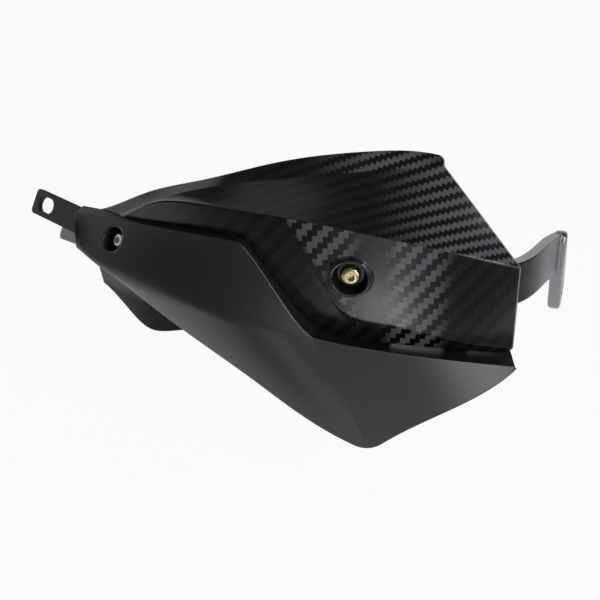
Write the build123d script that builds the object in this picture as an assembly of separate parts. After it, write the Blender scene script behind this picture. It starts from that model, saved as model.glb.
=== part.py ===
from build123d import *
import math
import os

# All sizes are millimetres. Points are measured from the middle of the centre screw on the cover's front:
# +X runs along the handlebar to its outer end, +Y to the rider, +Z up. The finished pieces are moved at
# the end so that the bar-end hole is the origin.

# Sheet walls: each moulding is its front skin pushed back by one vector, the backing being the room behind it
COVER_WALL = Vector(1.2, 2.6, -1.0)
DEFLECTOR_WALL = Vector(0.2, 3.2, -2.0)
COVER_BACKING = Vector(2, 34, 2)
DEFLECTOR_BACKING = Vector(2, 44, 2)

# Front skin of the cover, each line from its inner (left) end to its outer end
COVER_TOP = [
    (-156, 78, 9),
    (-133, 58, 19),
    (-108, 44.5, 32.5),
    (-80, 35, 41.5),
    (-35, 24.5, 55.4),
    (9, 22, 61.3),
    (39, 21.5, 61),
    (48.4, 20, 59.5),
]
COVER_VALLEY = [
    (-154.5, 74, 6.5),
    (-133, 54.5, 13.5),
    (-103, 35, 31),
    (-58, 23, 43.5),
    (-3, 18.5, 51),
    (48.4, 17, 55),
]
RIDGE_FORK = (-36, 1.3, 32)
COVER_RIDGE = [
    (-153.5, 70, 4),
    (-132, 52, 12),
    (-103, 30, 31),
    (-69, 12.5, 33.5),
    RIDGE_FORK,
    (12, -7, 25),
    (61, -8, 14),
    (89, -3, 5.6),
]
COVER_CREASE = [
    RIDGE_FORK,
    (-27, 0.4, 17),
    (-15, 1, -6),
    (-2, 1.5, -23),
    (22, -0.5, -29),
    (50, -2, -36),
    (91, 4.4, -46),
]
COVER_FOOT = [
    (-146.4, 71.8, -36),
    (-130.1, 57.9, -46.9),
    (-115.8, 45.9, -54.5),
    (-96.2, 33.8, -49.5),
    (-49, 14.8, -43.2),
    (18, 3.5, -42),
    (62, 3.5, -46.5),
    (89, 6.5, -50),
]
COVER_CORNERS = [(COVER_TOP[-1], 4.0), (COVER_RIDGE[-1], 3.0), (COVER_FOOT[-1], 3.0)]

# Front skin of the deflector: arm, belly line where the arm rolls into the fin, ledge under the cover, fin
ARM_TOP = [(-158.5, 66, 11.5), (-131.5, 46.5, 14.5), (-91.5, 19.5, 17.6), (-58.5, 5.5, 16.8)]
ARM_TOP_REAR = [(-155, 75, 12.5), (-131, 55.5, 15.5), (-91, 29, 18.6), (-56.5, 15, 18.5)]
LEDGE = [
    (-20, -5.6, -34),
    (-7.6, -6.5, -36.9),
    (12.4, -7.3, -40.5),
    (37.5, -7.5, -44.6),
    (63.7, -5, -49.4),
    (93, 1.5, -56),
]
LEDGE_REAR = [(-15, 11, -35.5), (18, 13, -45), (62, 14, -48.6), (92, 14, -51.2)]
SLANT = [ARM_TOP[-1], (-39.8, -0.4, -9.1), (-31.9, -3, -20.6), (-26.5, -4.6, -27.6), LEDGE[0]]
SLANT_REAR = [ARM_TOP_REAR[-1], (-36.5, 13.5, -9), (-28.5, 12.8, -20.5), (-22.5, 12, -28), LEDGE_REAR[0]]
BELLY = [(-156.5, 52, -4), (-141, 36.5, -9), (-91.5, 5.5, -16), (-53, -5, -25), LEDGE[0]]
FIN_TIP = (12.3, -19, -98.5)
FIN_EDGE_INNER = [
    (-156.2, 52.8, -5.6),
    (-142, 39.5, -9.8),
    (-94, 17, -39.5),
    (-54, -0.5, -62),
    (-26.5, -9.5, -80),
    FIN_TIP,
]
FIN_EDGE_OUTER = [FIN_TIP, (57.2, -12.5, -75), (84.2, -4, -63), (94, 1.8, -57.6)]
FIN_TIP_R = 16.0
ARM_END_R = 3.0
ARM_CORNER_R = 6.0

# Sections across the arm: share of its length, and how far the roll reaches on both sides of the belly line
ARM_ROLLS = [(0.0, 9.0), (0.22, 9.0), (0.45, 8.0), (0.68, 6.0), (0.86, 3.0)]

# Centre screw through the cover: depths are measured inward from the cover's front face
CENTRE_POINT = (0, -1.9, 0)
CENTRE_PLAN = 8.0
CENTRE_TILT = -8.0
CENTRE_BOSS_R = 12.2
CENTRE_BOSS_PROUD = 1.0
CENTRE_BOSS_DEEP = 9.0
CUP_LIP_R = 11.8
CUP_LIP_THICK = 1.6
CUP_LIP_BEVEL = 0.7
CUP_BODY_R = 10.4
CUP_MOUTH_R = 9.6
CUP_FLOOR_R = 8.0
CUP_FLOOR_DEEP = 4.2
CUP_FLOOR_THICK = 1.2
FIT_GAP = 0.2
CENTRE_SCREW_R = 3.0
CENTRE_HOLE_R = 3.3
CENTRE_HEAD_R = 5.6
CENTRE_HEAD_TALL = 3.6
CENTRE_HEAD_ROUND = 2.5
CENTRE_SOCKET = 4.0
CENTRE_WASHER_R = 7.7
CENTRE_WASHER_THICK = 1.2
SPACER_R = 7.0
CENTRE_NUT_FLATS = 10.0
CENTRE_NUT_TALL = 5.0
THREAD_END = 2.0
SOCKET_SHARE = 0.55

# Inner screw through the arm, the cover, the strap and the bar: depths from the arm's front face
INNER_POINT = (-131.6, 41, 4.4)
INNER_PLAN = 44.0
INNER_TILT = 27.0
INNER_BOSS_R = 9.5
INNER_RECESS_R = 7.2
INNER_RECESS_DEEP = 5.0
INNER_SCREW_R = 2.5
INNER_HOLE_R = 2.75
INNER_HEAD_R = 4.75
INNER_HEAD_TALL = 2.8
INNER_HEAD_BEVEL = 1.2
INNER_SOCKET = 3.0
INNER_PAD_R = 9.0
INNER_PAD_DEEP = 22.5
INNER_DROP = 2.5
INNER_NUT_FLATS = 8.0
INNER_NUT_TALL = 4.0

# Strap with the slot, turned up a little about the inner screw's axis
STRAP_WIDE = 16.5
STRAP_THICK = 3.0
STRAP_TURN = -1.6
STRAP_TAIL = 8.0
STRAP_SLOT_AT = 102.7
STRAP_SLOT_WIDE = 10.0
STRAP_SLOT_LONG = 16.0
STRAP_END_MARGIN = 5.8
STRAP_END_R = 3.0

# Flat bar: width, thickness and the run of its middle line (point, plan turn, tilt, width)
BAR_THICK = 6.0
BAR_WIDE = 25.0
BAR_INNER_WIDE = 20.0
BAR_INNER_REACH = 84.0
BAR_INNER_TURN = 2.6
BAR_INNER_TAIL = 14.0
BAR_INNER_END_R = 3.0
BAR_LAP = 4.0
BAR_CENTRE_DEEP = 18.0
BAR_LEVEL_OUT = -14.0
BAR_RUN = [
    ((-82, 38.5, -3), 26, 10, 22),
    ((-40, 23.5, -1), 12, 0, 24),
    ((2.5, 15.8, 2.5), CENTRE_PLAN, CENTRE_TILT, BAR_WIDE),
    ((40, 13.5, -5), 1, -4, BAR_WIDE),
    ((70, 12.5, -11), -12, 0, BAR_WIDE),
    ((92.9, 23.3, BAR_LEVEL_OUT), -40, 0, BAR_WIDE),
    ((106.5, 38, BAR_LEVEL_OUT), -54, 0, BAR_WIDE),
    ((117, 54.5, BAR_LEVEL_OUT), -55, 0, BAR_WIDE),
]
BAR_END_START = (128.5, 67.5, BAR_LEVEL_OUT)
BAR_END_PLAN = -71.0
BAR_END_THICK = 7.6
BAR_END_PROUD = 0.7
BAR_END_EDGE_R = 2.4
BAR_END_CORNER_R = 5.0
BAR_END_BACK = 16.0
BAR_END_DROP = 31.0
BAR_END_HOLE_R = 4.25

# Tabs of the deflector behind the cover, each held by one screw
TAB_SCREW_Z = -33.0
TAB_FACE_Y = 13.0
TAB_THICK = 2.5
TAB_HALF_WIDE = 7.0
TAB_FOOT_LAP = 1.0
TAB_TOP_Z = -27.0
TAB_BOSS_R = 4.5
TAB_SCREW_R = 1.9
TAB_SCREW_DEEP = 8.0
TAB_HOLE_R = 2.2
TAB_HEAD_R = 3.6
TAB_HEAD_TALL = 2.5
TAB_HEAD_BEVEL = 0.8

ON_FLOOR = (Align.CENTER, Align.CENTER, Align.MIN)
UNDER_FLOOR = (Align.CENTER, Align.CENTER, Align.MAX)
BEHIND_FOOT = (Align.CENTER, Align.MAX, Align.MIN)


def front_plane(point, plan, tilt):
    """Plane on a front face turned left by plan and tipped up by tilt (degrees): local X runs left along the
    level line of the face, local Y down the face, local Z out of it."""
    turn = math.radians(plan)
    lean = math.radians(tilt)
    out = Vector(-math.sin(turn) * math.cos(lean), -math.cos(turn) * math.cos(lean), math.sin(lean))
    level = Vector(-math.cos(turn), math.sin(turn), 0)
    return Plane(Vector(*point), x_dir=level, z_dir=out)


CENTRE = front_plane(CENTRE_POINT, CENTRE_PLAN, CENTRE_TILT)
INNER = front_plane(INNER_POINT, INNER_PLAN, INNER_TILT)
BAR_END = front_plane(BAR_END_START, BAR_END_PLAN, 0)
BAR_END_EYE = Pos(-BAR_END_BACK, BAR_END_DROP)
STRAP_PLACE = INNER * Pos(0, INNER_DROP, -INNER_PAD_DEEP - STRAP_THICK / 2) * Rot(Z=STRAP_TURN)
BAR_INNER_DEEP = INNER_PAD_DEEP + STRAP_THICK + BAR_THICK / 2
BAR_INNER_PLACE = INNER * Pos(0, INNER_DROP, -BAR_INNER_DEEP) * Rot(Z=BAR_INNER_TURN)
TAB_FEET = LEDGE_REAR[1:3]
TAB_SPOTS = [front_plane((x, 0, TAB_SCREW_Z), 0, 0) for x, y, z in TAB_FEET]


def post(plane, radius, top, bottom):
    """Cylinder on a plane's axis between two heights along it."""
    return plane * Pos(0, 0, bottom) * Cylinder(radius, top - bottom, align=ON_FLOOR)


def ruled(first, second):
    return Face.make_surface_from_curves(first, second)


def nearest(edges, point):
    return min(edges, key=lambda edge: edge.distance_to(point))


def wall_solid(skin, push):
    """Solid between an open skin of faces and the same skin pushed back."""
    sewn = Shell(skin)
    faces = sewn.faces()
    owned = [edge for face in faces for edge in face.edges()]
    rim = [edge for edge in sewn.edges() if sum(edge.is_same(other) for other in owned) == 1]
    back = [face.moved(Location(push)) for face in faces]
    sides = [Face.extrude(edge, push) for edge in rim]
    return Solid(Shell([*faces, *back, *sides]))


def round_edge(solid, start, end, radius):
    """Rounds the short straight edge between two points."""
    middle = (Vector(*start) + Vector(*end)) / 2
    edge = min(solid.edges(), key=lambda edge: (edge.center() - middle).length)
    return solid.fillet(radius, [edge])


def cover_skin():
    top = Edge.make_spline(COVER_TOP)
    valley = Edge.make_spline(COVER_VALLEY)
    ridge = Edge.make_spline(COVER_RIDGE)
    crease = Edge.make_spline(COVER_CREASE)
    foot = Edge.make_spline(COVER_FOOT)
    fork = ridge.param_at_point(RIDGE_FORK)
    skin = [
        ruled(ridge.trim(fork, 1), crease),
        ruled(crease, foot.trim(fork, 1)),
        ruled(ridge.trim(0, fork), foot.trim(0, fork)),
    ]
    for start, end in ((0, fork), (fork, 1)):
        skin.append(ruled(top.trim(start, end), valley.trim(start, end)))
        skin.append(ruled(valley.trim(start, end), ridge.trim(start, end)))
    return skin


def deflector_skin():
    """Arm lofted over sections that roll into the fin, the fin in two ruled halves, and three flanges."""
    arm_top = Edge.make_spline(ARM_TOP)
    belly = Edge.make_spline(BELLY)
    fin_inner = Edge.make_spline(FIN_EDGE_INNER)
    sections = []
    for share, reach in ARM_ROLLS:
        top, turn, low = arm_top @ share, belly @ share, fin_inner @ share
        roll = min(reach, (low - turn).length / 2)
        above = turn + (top - turn).normalized() * roll
        below = turn + (low - turn).normalized() * roll
        sections.append(Edge.make_spline([top, above, below], tangents=[above - top, low - turn]))
    sections.append(Edge.make_spline(SLANT))
    arm = Shell.make_loft([Wire([section]) for section in sections]).faces()[0]
    roll_edge = nearest(arm.edges(), sections[2] @ 1)
    top_edge = nearest(arm.edges(), sections[2] @ 0).reversed()
    slant_edge = nearest(arm.edges(), sections[-1] @ 0.5).reversed()
    ledge = Edge.make_spline(LEDGE)
    return [
        arm,
        ruled(roll_edge, fin_inner),
        ruled(ledge, Edge.make_spline(FIN_EDGE_OUTER)),
        ruled(Edge.make_spline(LEDGE_REAR), ledge),
        ruled(Edge.make_spline(ARM_TOP_REAR), top_edge),
        ruled(Edge.make_spline(SLANT_REAR), slant_edge),
    ]


def build_cover(skin, backing):
    cover = wall_solid(skin, COVER_WALL)
    for point, radius in COVER_CORNERS:
        cover = round_edge(cover, point, Vector(*point) + COVER_WALL, radius)
    cover += post(CENTRE, CENTRE_BOSS_R, CENTRE_BOSS_PROUD, -CENTRE_BOSS_DEEP)
    cover += post(INNER, INNER_PAD_R, 0, -INNER_PAD_DEEP) & backing
    for spot in TAB_SPOTS:
        cover += post(spot, TAB_BOSS_R, 0, -TAB_FACE_Y) & backing
        cover -= post(spot, TAB_SCREW_R, TAB_SCREW_DEEP - TAB_FACE_Y, -TAB_FACE_Y)
    cover -= post(CENTRE, CUP_BODY_R + FIT_GAP, CENTRE_BOSS_PROUD, -CUP_FLOOR_DEEP - CUP_FLOOR_THICK)
    cover -= post(CENTRE, CENTRE_HOLE_R, 0, -CENTRE_BOSS_DEEP)
    cover -= post(INNER, INNER_HOLE_R, 0, -INNER_PAD_DEEP)
    return cover


def build_deflector(cover, backing):
    skin = deflector_skin()
    shell = wall_solid(skin, DEFLECTOR_WALL)
    hollow = wall_solid(skin, DEFLECTOR_BACKING)
    shell = round_edge(shell, FIN_TIP, Vector(*FIN_TIP) + DEFLECTOR_WALL, FIN_TIP_R)
    shell = round_edge(shell, ARM_TOP[0], Vector(*ARM_TOP[0]) + DEFLECTOR_WALL, ARM_END_R)
    shell = round_edge(shell, ARM_TOP[-1], ARM_TOP_REAR[-1], ARM_CORNER_R)
    shell += post(INNER, INNER_BOSS_R, INNER_RECESS_DEEP, -INNER_PAD_DEEP) & hollow
    shell -= backing
    shell -= cover
    shell = shell.solids().sort_by(SortBy.VOLUME)[-1]
    rear = TAB_FACE_Y + TAB_THICK
    for spot, (x, y, z) in zip(TAB_SPOTS, TAB_FEET):
        corner = Pos(x, rear, z - TAB_THICK)
        foot_long = rear - y + TAB_FOOT_LAP
        shell += corner * Box(2 * TAB_HALF_WIDE, TAB_THICK, TAB_TOP_Z - z + TAB_THICK, align=BEHIND_FOOT)
        shell += corner * Box(2 * TAB_HALF_WIDE, foot_long, TAB_THICK, align=BEHIND_FOOT)
        shell -= post(spot, TAB_HOLE_R, -TAB_FACE_Y, -rear)
    shell -= post(INNER, INNER_RECESS_R, 2 * INNER_RECESS_DEEP, -INNER_RECESS_DEEP)
    shell -= post(INNER, INNER_HOLE_R, 0, -INNER_PAD_DEEP)
    return shell


def bar_section(place, wide):
    return place * Rot(Y=90) * Rectangle(BAR_THICK, wide)


def build_bar():
    foot = Box(BAR_INNER_REACH + BAR_INNER_TAIL, BAR_INNER_WIDE, BAR_THICK)
    foot = fillet(foot.edges().filter_by(Axis.Z).group_by(Axis.X)[-1], BAR_INNER_END_R)
    bar = BAR_INNER_PLACE * Pos((BAR_INNER_REACH - BAR_INNER_TAIL) / 2, 0) * foot
    sections = []
    for along in (BAR_LAP - BAR_INNER_TAIL, -BAR_LAP - BAR_INNER_TAIL):
        sections.append(bar_section(BAR_INNER_PLACE * Pos(along, 0), BAR_INNER_WIDE))
    for point, plan, tilt, wide in BAR_RUN:
        sections.append(bar_section(front_plane(point, plan, tilt), wide))
    sections.append(bar_section(BAR_END, BAR_WIDE))
    bar += loft(sections)
    outline = (BAR_END_EYE * Circle(BAR_WIDE / 2)).edges()
    corner_out = BAR_WIDE / 2 + BAR_END_PROUD - BAR_END_CORNER_R
    for side in (-corner_out, corner_out):
        outline += (Pos(0, side) * Circle(BAR_END_CORNER_R)).edges()
    plate = extrude(make_hull(outline), BAR_END_THICK / 2, both=True)
    plate = fillet(plate.faces().filter_by(Axis.Z).edges(), BAR_END_EDGE_R)
    bar += BAR_END * plate
    bar -= BAR_END * BAR_END_EYE * Cylinder(BAR_END_HOLE_R, 2 * BAR_END_THICK)
    bar -= post(INNER, INNER_HOLE_R, 0, -2 * BAR_INNER_DEEP)
    bar -= post(CENTRE, CENTRE_HOLE_R, 0, -2 * BAR_CENTRE_DEEP)
    return bar


def build_strap():
    reach = STRAP_SLOT_AT + STRAP_SLOT_LONG / 2 + STRAP_END_MARGIN
    strap = Box(reach + STRAP_TAIL, STRAP_WIDE, STRAP_THICK)
    strap = fillet(strap.edges().filter_by(Axis.Z), STRAP_END_R)
    slot = extrude(SlotOverall(STRAP_SLOT_LONG, STRAP_SLOT_WIDE), STRAP_THICK, both=True)
    strap = STRAP_PLACE * (Pos((reach - STRAP_TAIL) / 2, 0) * strap - Pos(STRAP_SLOT_AT, 0) * slot)
    return strap - post(INNER, INNER_HOLE_R, 0, -2 * INNER_PAD_DEEP)


def socket_screw(head, radius, head_tall, socket, long):
    """Screw with a hexagon socket, its head standing on local height 0."""
    recess = extrude(RegularPolygon(socket / 2, 6, major_radius=False), head_tall)
    head -= Pos(0, 0, head_tall * (1 - SOCKET_SHARE)) * recess
    return head + Cylinder(radius, long, align=UNDER_FLOOR)


def hex_nut(flats, tall, hole_radius):
    """Nut below local height 0."""
    body = extrude(RegularPolygon(flats / 2, 6, major_radius=False), -tall)
    return body - Cylinder(hole_radius, 2 * tall)


def build_cup():
    lip = post(CENTRE, CUP_LIP_R, CENTRE_BOSS_PROUD + CUP_LIP_THICK, CENTRE_BOSS_PROUD)
    lip = chamfer(lip.edges().sort_by_distance(CENTRE.origin)[-1], CUP_LIP_BEVEL)
    cup = lip + post(CENTRE, CUP_BODY_R, CENTRE_BOSS_PROUD, -CUP_FLOOR_DEEP - CUP_FLOOR_THICK)
    mouth_height = CENTRE_BOSS_PROUD + CUP_LIP_THICK + CUP_FLOOR_DEEP
    cup -= CENTRE * Pos(0, 0, -CUP_FLOOR_DEEP) * Cone(CUP_FLOOR_R, CUP_MOUTH_R, mouth_height, align=ON_FLOOR)
    return cup - post(CENTRE, CENTRE_HOLE_R, 0, -2 * CUP_FLOOR_DEEP)


def build_centre_stack(bar):
    """Washer, screw, spacer and nut on the centre screw's axis."""
    seat = -CUP_FLOOR_DEEP + CENTRE_WASHER_THICK
    washer = post(CENTRE, CENTRE_WASHER_R, seat, -CUP_FLOOR_DEEP)
    washer -= post(CENTRE, CENTRE_HOLE_R, 0, -2 * CUP_FLOOR_DEEP)
    nut_top = -BAR_CENTRE_DEEP - BAR_THICK / 2
    screw_long = seat - nut_top + CENTRE_NUT_TALL + THREAD_END
    head = Cylinder(CENTRE_HEAD_R, CENTRE_HEAD_TALL, align=ON_FLOOR)
    head = fillet(head.edges().group_by(Axis.Z)[-1], CENTRE_HEAD_ROUND)
    screw = socket_screw(head, CENTRE_SCREW_R, CENTRE_HEAD_TALL, CENTRE_SOCKET, screw_long)
    spacer = post(CENTRE, SPACER_R, -CENTRE_BOSS_DEEP, -BAR_CENTRE_DEEP)
    spacer -= post(CENTRE, CENTRE_HOLE_R, 0, -2 * BAR_CENTRE_DEEP)
    spacer = (spacer - bar).solids().sort_by(SortBy.VOLUME)[-1]
    nut = CENTRE * Pos(0, 0, nut_top) * hex_nut(CENTRE_NUT_FLATS, CENTRE_NUT_TALL, CENTRE_SCREW_R)
    return washer, CENTRE * Pos(0, 0, seat) * screw, spacer, nut - bar


def build_inner_stack():
    """Screw and nut on the inner screw's axis."""
    nut_top = -BAR_INNER_DEEP - BAR_THICK / 2
    screw_long = -INNER_RECESS_DEEP - nut_top + INNER_NUT_TALL + THREAD_END
    head = Cylinder(INNER_HEAD_R, INNER_HEAD_TALL, align=ON_FLOOR)
    head = chamfer(head.edges().group_by(Axis.Z)[-1], INNER_HEAD_BEVEL)
    screw = socket_screw(head, INNER_SCREW_R, INNER_HEAD_TALL, INNER_SOCKET, screw_long)
    nut = hex_nut(INNER_NUT_FLATS, INNER_NUT_TALL, INNER_SCREW_R)
    return INNER * Pos(0, 0, -INNER_RECESS_DEEP) * screw, INNER * Pos(0, 0, nut_top) * nut


def build_tab_screws():
    """Pan-head screws driven from behind through the deflector's tabs into the cover's bosses."""
    screws = []
    for spot in TAB_SPOTS:
        rear = -TAB_FACE_Y - TAB_THICK
        head = post(spot, TAB_HEAD_R, rear, rear - TAB_HEAD_TALL)
        head = chamfer(head.edges().sort_by(Axis.Y)[-1], TAB_HEAD_BEVEL)
        screws.append(head + post(spot, TAB_SCREW_R, TAB_SCREW_DEEP - TAB_FACE_Y, rear))
    return Compound(children=screws)


def main():
    os.makedirs("parts", exist_ok=True)
    skin = cover_skin()
    backing = wall_solid(skin, COVER_BACKING)
    cover = build_cover(skin, backing)
    bar = build_bar()
    washer, centre_screw, spacer, centre_nut = build_centre_stack(bar)
    inner_screw, inner_nut = build_inner_stack()
    pieces = {
        "carbon_cover": cover,
        "wind_deflector": build_deflector(cover, backing),
        "mounting_bar": bar,
        "inner_strap": build_strap(),
        "centre_cup": build_cup(),
        "centre_washer": washer,
        "centre_screw": centre_screw,
        "centre_spacer": spacer,
        "centre_nut": centre_nut,
        "inner_screw": inner_screw,
        "inner_nut": inner_nut,
        "deflector_screws": build_tab_screws(),
    }
    origin = BAR_END.from_local_coords(Vector(-BAR_END_BACK, BAR_END_DROP, 0))
    for name, piece in pieces.items():
        export_step(piece.moved(Location(-origin)), f"parts/{name}.step")


if __name__ == "__main__":
    main()
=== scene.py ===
"""Dresses the motorcycle hand guard in its materials and lights it on a white table."""
import math

import bpy
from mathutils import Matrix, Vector

# Axes of the shared frame: toward the bar's outer end, rearward and up
X = (1, 0, 0)
Y = (0, 1, 0)
Z = (0, 0, 1)

# Camera, in metres, degrees and millimetres: the photograph looks down on the guard's front
CAMERA_PLACE = (-0.16021, -0.5594, 0.25299)
CAMERA_DOWN = 25.0
CAMERA_LENS = 58.87
CAMERA_SENSOR = 36.0
CAMERA_NEAR = 0.01

# Soft boxes around a point of the guard: azimuth from the front, elevation, distance, size and watts
LIT_POINT = Vector((-0.13, -0.08, 0.03))
LIGHTS = [
    ("key", 46, 24, 1.2, (0.4, 0.3), 5.5),
    ("front", 43, -4, 0.9, (0.55, 0.35), 2.4),
    ("fin", -4, -24, 0.7, (0.25, 0.2), 0.32),
    ("left", -108, 10, 1.0, (0.5, 0.5), 0.75),
    ("top", -100, 75, 0.9, (0.6, 0.4), 0.45),
    ("low", -5, -44.5, 0.6, (0.08, 0.06), 0.27),
    ("edge", 8, 18, 1.0, (0.2, 0.15), 0.4),
]
LIGHT_COLOUR = (0.95, 0.97, 1.0)
ROOM_COLOUR = (0.12, 0.12, 0.125, 1)

# Table: level, front edge, back, reach to the sides and up, and the curve that leads up behind the guard
TABLE_LEVEL = -0.085
TABLE_FRONT = -0.188
TABLE_BACK = 1.6
TABLE_REACH = 3.0
TABLE_CURVE = 0.6
TABLE_STEPS = 24
TABLE_COLOUR = (0.86, 0.86, 0.86, 1)
TABLE_ROUGH = 0.9

# Share of plain white in what the camera, reflections and glass see of the table
TABLE_WHITE = 0.94

# Width of the twill's tows on the cover's front, across and up, and on its upper facets
FRONT_TOW_ACROSS = 0.0027
FRONT_TOW_UP = 0.0034
UPPER_TOW = 0.0021

# The two directions across the tows, over their width, on the front and on the upper facets
FRONT_TOWS = (Vector(X) / FRONT_TOW_ACROSS, Vector(Z) / FRONT_TOW_UP)
UPPER_TOWS = (Vector((0.874, -0.293, -0.389)) / UPPER_TOW, Vector((0.484, 0.605, 0.632)) / UPPER_TOW)

# The weave repeats after this many tows, and the steps below the limit show the light tow, whose paleness is
# painted reflection
TWILL_REPEAT = 4.0
TWILL_SHEEN_BELOW = 1.5

# The upward part of its normal from which a face is an upper one
UPPER_FROM = 0.15

# Painted reflection of the twill on the front, past the crease: beside the crease and in a band, each fading
# along X
FORK = Vector((-0.1697, -0.0813, 0.077))
CREASE_SIDE = Vector((0.85, 0, 0.526))
CREASE_FADE = (0.0, 0.003)
BESIDE_CREASE = (-0.126, -0.139)
BAND_START = (-0.118, -0.105)
BAND_END = (-0.078, -0.092)

# Painted reflection of the twill on the upper facets and on the lip above them, fading along X
UPPER_FADE = (-0.125, -0.083)
LIP_SIDE = Vector((-0.09, 0, 1))
LIP_FROM = 0.108
LIP_START = (-0.16, -0.115)
LIP_END = (-0.078, -0.1)

# Share of the twill that is left where its painted reflection has faded
TWILL_SHEEN_LEFT = 0.06

# The cover's shine, low behind the deflector's arm and full above it, and the heights where it changes
COVER_SHINE = (0.1, 0.4)
SKIRT_FADE = (0.006, 0.015)

# Mouldings are dull where another face lies this near, by how open they are, and on flanges that face up
CLOSE = 0.01
OPEN_FADE = (0.4, 0.75)
FLANGE_FADE = (0.75, 0.45)
DULL_SHINE = 0.08

# The bar's front, by the Y of its normal, has painted shade: it goes from dark beside the cover to bright at
# its ends, along X
BAR_FRONT_BELOW = -0.35
BAR_SHADE_FADE_OUT = (-0.028, -0.006)
BAR_SHADE_FADE_IN = (-0.06, -0.1)
BAR_INNER_SHADED_TONE = 0.55

# Width of the lumps in each surface's colour and grain, and the height of the grain
COVER_SPECKLE = 0.0009
COVER_GRAIN = 0.00003
MOULDED_DRIFT = 0.02
MOULDED_SPECKLE = 0.0005
MOULDED_GRAIN = 0.00002
METAL_CLOUD = 0.004
METAL_SPECKLE = 0.0004
METAL_GRAIN = 0.00001

# Radius at which sharp edges catch the light, and the rays that look for edges and for near faces
EDGE_ROUND = 0.0015
LOOK_RAYS = 8


class Graph:
    """A material's nodes, with short calls to add and link them."""

    def __init__(self, name, **shader_values):
        self.material = bpy.data.materials.new(name)
        self.material.use_nodes = True
        self.tree = self.material.node_tree
        self.shader = self.tree.nodes["Principled BSDF"]
        self.place = self.add("ShaderNodeTexCoord").outputs["Object"]
        self.facing = self.add("ShaderNodeNewGeometry").outputs["Normal"]
        for socket, value in shader_values.items():
            self.shade(socket.replace("_", " "), value)

    def add(self, kind, inputs=(), **settings):
        node = self.tree.nodes.new(kind)
        for setting, value in settings.items():
            setattr(node, setting, value)
        for socket, value in dict(inputs).items():
            self.feed(node.inputs[socket], value)
        return node

    def feed(self, socket, value):
        if isinstance(value, bpy.types.NodeSocket):
            self.tree.links.new(value, socket)
        else:
            socket.default_value = value

    def shade(self, socket, value):
        """Sets one of the shader's own sockets."""
        self.feed(self.shader.inputs[socket], value)

    def math(self, operation, *values):
        return self.add("ShaderNodeMath", enumerate(values), operation=operation).outputs[0]

    def minus(self, first, second):
        inputs = [(0, first), (1, second)]
        return self.add("ShaderNodeVectorMath", inputs, operation="SUBTRACT").outputs["Vector"]

    def dot(self, first, second):
        inputs = [(0, first), (1, second)]
        return self.add("ShaderNodeVectorMath", inputs, operation="DOT_PRODUCT").outputs["Value"]

    def noise(self, size, detail=2.0):
        """Soft noise from 0 to 1 whose lumps are about size metres wide."""
        inputs = [("Vector", self.place), ("Scale", 1 / size), ("Detail", detail)]
        return self.add("ShaderNodeTexNoise", inputs).outputs["Fac"]

    def ramp(self, value, low, high):
        """Carries a value from 0 to 1 into the range low to high."""
        inputs = [("Value", value), ("To Min", low), ("To Max", high)]
        return self.add("ShaderNodeMapRange", inputs).outputs["Result"]

    def fade(self, value, start, end):
        """0 at start and 1 at end, with soft ends."""
        inputs = [("Value", value), ("From Min", start), ("From Max", end)]
        return self.add("ShaderNodeMapRange", inputs, interpolation_type="SMOOTHSTEP").outputs["Result"]

    def mix(self, kind, factor, first, second):
        node = self.add("ShaderNodeMix", data_type=kind)
        for name, source in (("Factor", factor), ("A", first), ("B", second)):
            socket = [s for s in node.inputs if s.name == name and s.enabled][0]
            self.feed(socket, source)
        return [s for s in node.outputs if s.enabled][0]

    def tint(self, value, dark, light):
        """Colour between dark and light by a value from 0 to 1."""
        return self.mix("RGBA", value, (*dark, 1), (*light, 1))

    def grain(self, height, distance):
        """Bumps the surface by a height from 0 to 1 over a distance in metres, with its sharp edges eased."""
        eased = self.add("ShaderNodeBevel", [("Radius", EDGE_ROUND)], samples=LOOK_RAYS).outputs["Normal"]
        inputs = [("Height", height), ("Distance", distance), ("Strength", 1.0), ("Normal", eased)]
        self.shade("Normal", self.add("ShaderNodeBump", inputs).outputs["Normal"])


def painted_sheen_tow(graph, upper):
    """1 where the light tow of the twill lies on top, its paleness painted reflection, and 0 where the dark
    one does.
    """
    tows = []
    for front, above in zip(FRONT_TOWS, UPPER_TOWS):
        across = graph.mix("FLOAT", upper, graph.dot(graph.place, front), graph.dot(graph.place, above))
        tows.append(graph.math("FLOOR", across))
    step = graph.math("FLOORED_MODULO", graph.math("SUBTRACT", *tows), TWILL_REPEAT)
    return graph.math("LESS_THAN", step, TWILL_SHEEN_BELOW)


def twill_sheen_shown(graph, upper):
    """From 0 to 1, how much of its twill the cover shows, in fixed patches of painted reflection: none on its
    rear.
    """
    along = graph.dot(graph.place, X)
    past_crease = graph.fade(graph.dot(graph.minus(graph.place, FORK), CREASE_SIDE), *CREASE_FADE)
    band = graph.math("MULTIPLY", graph.fade(along, *BAND_START), graph.fade(along, *BAND_END))
    patches = graph.math("MAXIMUM", graph.fade(along, *BESIDE_CREASE), band)
    on_front = graph.math("MULTIPLY", past_crease, patches)

    is_lip = graph.math("GREATER_THAN", graph.dot(graph.place, LIP_SIDE), LIP_FROM)
    on_lip = graph.math("MULTIPLY", graph.fade(along, *LIP_START), graph.fade(along, *LIP_END))
    on_upper = graph.mix("FLOAT", is_lip, graph.fade(along, *UPPER_FADE), on_lip)

    outside = graph.math("LESS_THAN", graph.dot(graph.facing, Y), 0.0)
    return graph.math("MULTIPLY", graph.mix("FLOAT", upper, on_front, on_upper), outside)


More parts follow.
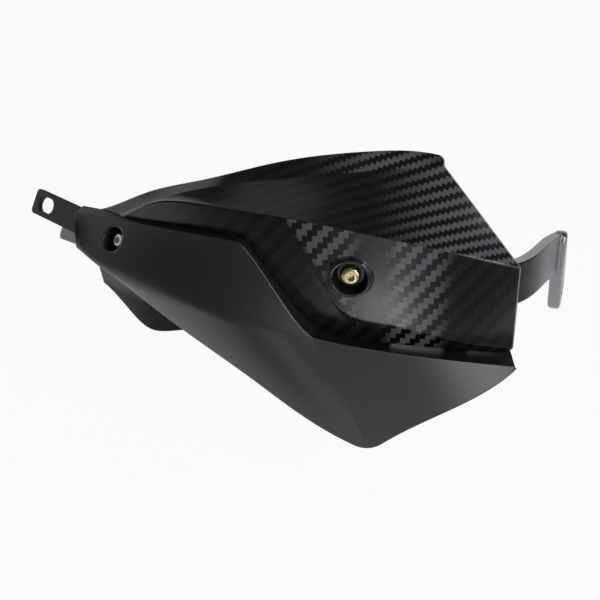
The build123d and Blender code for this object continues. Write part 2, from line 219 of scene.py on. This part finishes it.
def carbon_twill():
    """Light and dark tows where the cover shows its twill, the light tows' paleness a painted reflection, and
    plain satin black elsewhere.
    """
    dark, light = (0.005, 0.005, 0.0055), (0.095, 0.095, 0.1)
    rough = (0.18, 0.28)
    graph = Graph("carbon_twill")
    upper = graph.math("GREATER_THAN", graph.dot(graph.facing, Z), UPPER_FROM)
    # Painted reflection: the twill shows fully only in fixed patches where it caught the light, faintly
    # elsewhere
    strength = graph.ramp(twill_sheen_shown(graph, upper), TWILL_SHEEN_LEFT, 1.0)
    # Painted reflection: the light tows are paler than the dark ones where the twill is shown
    tone = graph.math("MULTIPLY", painted_sheen_tow(graph, upper), strength)
    above_skirt = graph.fade(graph.dot(graph.place, Z), *SKIRT_FADE)
    speckle = graph.noise(COVER_SPECKLE)
    graph.shade("Base Color", graph.tint(tone, dark, light))
    graph.shade("Specular IOR Level", graph.ramp(above_skirt, *COVER_SHINE))
    graph.shade("Roughness", graph.ramp(speckle, *rough))
    graph.grain(speckle, COVER_GRAIN)
    return graph.material


def moulded(name, dark, light, rough, shine):
    """Moulded plastic or paint: slow colour drift, fine grain, dull in gaps and on up-facing flanges."""
    graph = Graph(name)
    inputs = [("Distance", CLOSE)]
    open_air = graph.add("ShaderNodeAmbientOcclusion", inputs, samples=LOOK_RAYS).outputs["AO"]
    off_flange = graph.fade(graph.dot(graph.facing, Z), *FLANGE_FADE)
    clear = graph.math("MULTIPLY", graph.fade(open_air, *OPEN_FADE), off_flange)
    speckle = graph.noise(MOULDED_SPECKLE)
    drift = graph.noise(MOULDED_DRIFT, detail=4.0)
    graph.shade("Base Color", graph.tint(drift, dark, light))
    graph.shade("Specular IOR Level", graph.ramp(clear, DULL_SHINE, shine))
    graph.shade("Roughness", graph.ramp(speckle, *rough))
    graph.grain(speckle, MOULDED_GRAIN)
    return graph.material


def satin_black():
    """The deflector's plastic."""
    dark, light = (0.011, 0.011, 0.0115), (0.015, 0.015, 0.0155)
    return moulded("satin_black", dark, light, rough=(0.34, 0.44), shine=0.75)


def black_paint():
    """The strap's paint."""
    dark, light = (0.005, 0.005, 0.005), (0.008, 0.008, 0.008)
    return moulded("black_paint", dark, light, rough=(0.45, 0.55), shine=0.3)


def gloss_black():
    """The cup's plastic."""
    dark, light = (0.006, 0.006, 0.006), (0.01, 0.01, 0.01)
    return moulded("gloss_black", dark, light, rough=(0.1, 0.18), shine=0.5)


def matt_black():
    """The spacer's plastic."""
    dark, light = (0.015, 0.015, 0.015), (0.022, 0.022, 0.022)
    return moulded("matt_black", dark, light, rough=(0.5, 0.65), shine=0.5)


def plated(name, dark, light, rough):
    """Plated metal with fine clouding."""
    graph = Graph(name, Metallic=1.0)
    cloud = graph.noise(METAL_CLOUD, detail=5.0)
    speckle = graph.noise(METAL_SPECKLE)
    graph.shade("Base Color", graph.tint(cloud, dark, light))
    graph.shade("Roughness", graph.ramp(speckle, *rough))
    graph.grain(speckle, METAL_GRAIN)
    return graph.material


def bright_zinc():
    """The nuts, the inner screw and the deflector's screws."""
    dark, light = (0.55, 0.55, 0.54), (0.7, 0.7, 0.69)
    return plated("bright_zinc", dark, light, rough=(0.2, 0.34))


def yellow_zinc():
    """The centre screw."""
    dark, light = (0.5, 0.4, 0.2), (0.7, 0.6, 0.36)
    return plated("yellow_zinc", dark, light, rough=(0.22, 0.36))


def darkened_zinc():
    """The centre washer, which the photograph shows dark."""
    # Zinc coloured darker than the other zinc parts
    dark, light = (0.05, 0.05, 0.05), (0.09, 0.09, 0.088)
    return plated("darkened_zinc", dark, light, rough=(0.45, 0.6))


def satin_aluminium():
    """The bar's bare metal with fine clouding, and painted shade on its front beside the cover."""
    dark, light = (0.015, 0.016, 0.017), (0.25, 0.26, 0.27)
    cloud_tones = (0.85, 1.0)
    rough = (0.28, 0.4)
    graph = Graph("satin_aluminium", Metallic=1.0)
    along = graph.dot(graph.place, X)
    # Painted shade: the front is dark beside the cover, bright at the outer end and only part way bright at
    # the inner end
    inner_shade_lift = graph.math("MULTIPLY", graph.fade(along, *BAR_SHADE_FADE_IN), BAR_INNER_SHADED_TONE)
    ends = graph.math("MAXIMUM", graph.fade(along, *BAR_SHADE_FADE_OUT), inner_shade_lift)
    off_shaded_front = graph.math("GREATER_THAN", graph.dot(graph.facing, Y), BAR_FRONT_BELOW)
    cloud = graph.ramp(graph.noise(METAL_CLOUD, detail=5.0), *cloud_tones)
    tone = graph.math("MULTIPLY", graph.math("MAXIMUM", ends, off_shaded_front), cloud)
    speckle = graph.noise(METAL_SPECKLE)
    graph.shade("Base Color", graph.tint(tone, dark, light))
    graph.shade("Roughness", graph.ramp(speckle, *rough))
    graph.grain(speckle, METAL_GRAIN)
    return graph.material


def white_table():
    """White that takes the guard's shadow, and shows nearly plain white to the camera and in reflections."""
    graph = Graph("white_table", Base_Color=TABLE_COLOUR, Roughness=TABLE_ROUGH)
    path = graph.add("ShaderNodeLightPath").outputs
    mirrored = graph.math("MAXIMUM", path["Is Glossy Ray"], path["Is Transmission Ray"])
    seen = graph.math("MAXIMUM", path["Is Camera Ray"], mirrored)
    share = graph.math("MULTIPLY", seen, TABLE_WHITE)
    glow = graph.add("ShaderNodeEmission").outputs["Emission"]
    shown = graph.add("ShaderNodeMixShader", enumerate((share, graph.shader.outputs["BSDF"], glow)))
    graph.feed(graph.tree.nodes["Material Output"].inputs["Surface"], shown.outputs["Shader"])
    return graph.material


def dress(nodes):
    """Puts one material on each node of the CAD."""
    steel = bright_zinc()
    materials = {
        "carbon_cover": carbon_twill(),
        "wind_deflector": satin_black(),
        "mounting_bar": satin_aluminium(),
        "inner_strap": black_paint(),
        "centre_cup": gloss_black(),
        "centre_spacer": matt_black(),
        "centre_screw": yellow_zinc(),
        "centre_washer": darkened_zinc(),
        "centre_nut": steel,
        "inner_screw": steel,
        "inner_nut": steel,
        "deflector_screws": steel,
    }
    for name, material in materials.items():
        mesh = nodes[name].data
        mesh.materials.clear()
        mesh.materials.append(material)


def build_table():
    """White table that curves up into the backdrop."""
    bend = TABLE_BACK - TABLE_CURVE
    profile = [(TABLE_FRONT, TABLE_LEVEL), (bend, TABLE_LEVEL)]
    for step in range(1, TABLE_STEPS + 1):
        turn = math.pi / 2 * step / TABLE_STEPS
        rise = TABLE_CURVE * (1 - math.cos(turn))
        profile.append((bend + TABLE_CURVE * math.sin(turn), TABLE_LEVEL + rise))
    profile.append((TABLE_BACK, TABLE_LEVEL + TABLE_REACH))
    points = [(x, y, z) for y, z in profile for x in (-TABLE_REACH, TABLE_REACH)]
    faces = [(2 * i, 2 * i + 1, 2 * i + 3, 2 * i + 2) for i in range(len(profile) - 1)]
    mesh = bpy.data.meshes.new("table")
    mesh.from_pydata(points, [], faces)
    mesh.shade_smooth()
    mesh.materials.append(white_table())
    table = bpy.data.objects.new("table", mesh)
    bpy.context.scene.collection.objects.link(table)


def build_world():
    """Grey room, the same from every side."""
    world = bpy.data.worlds.new("studio")
    bpy.context.scene.world = world
    world.use_nodes = True
    world.node_tree.nodes["Background"].inputs["Color"].default_value = ROOM_COLOUR


def build_light(name, azimuth, elevation, distance, size, watts):
    """Soft box that faces the guard from an azimuth (0 in front, 90 at the outer end) and an elevation."""
    lamp = bpy.data.lights.new(name, "AREA")
    lamp.shape = "RECTANGLE"
    lamp.size, lamp.size_y = size
    lamp.energy = watts
    lamp.color = LIGHT_COLOUR
    turn, lift = math.radians(azimuth), math.radians(elevation)
    away = Vector((math.sin(turn) * math.cos(lift), -math.cos(turn) * math.cos(lift), math.sin(lift)))
    holder = bpy.data.objects.new(name, lamp)
    holder.location = LIT_POINT + distance * away
    holder.rotation_euler = (-away).to_track_quat("-Z", "Y").to_euler()
    holder.visible_camera = False
    bpy.context.scene.collection.objects.link(holder)


def build_camera():
    """Camera at the photograph's viewing angle."""
    lens = bpy.data.cameras.new("camera")
    lens.lens = CAMERA_LENS
    lens.sensor_width = CAMERA_SENSOR
    lens.clip_start = CAMERA_NEAR
    camera = bpy.data.objects.new("camera", lens)
    camera.location = CAMERA_PLACE
    camera.rotation_euler = (math.radians(90 - CAMERA_DOWN), 0, 0)
    bpy.context.scene.collection.objects.link(camera)
    bpy.context.scene.camera = camera


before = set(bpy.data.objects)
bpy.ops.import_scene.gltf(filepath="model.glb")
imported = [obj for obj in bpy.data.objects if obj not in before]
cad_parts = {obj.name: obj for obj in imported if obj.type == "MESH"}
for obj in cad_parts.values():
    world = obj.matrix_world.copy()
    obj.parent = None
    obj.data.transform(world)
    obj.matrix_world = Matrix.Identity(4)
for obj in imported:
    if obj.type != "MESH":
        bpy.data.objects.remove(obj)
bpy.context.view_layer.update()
bpy.context.scene.view_settings.view_transform = "Standard"
dress(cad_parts)
build_table()
build_world()
for light in LIGHTS:
    build_light(*light)
build_camera()
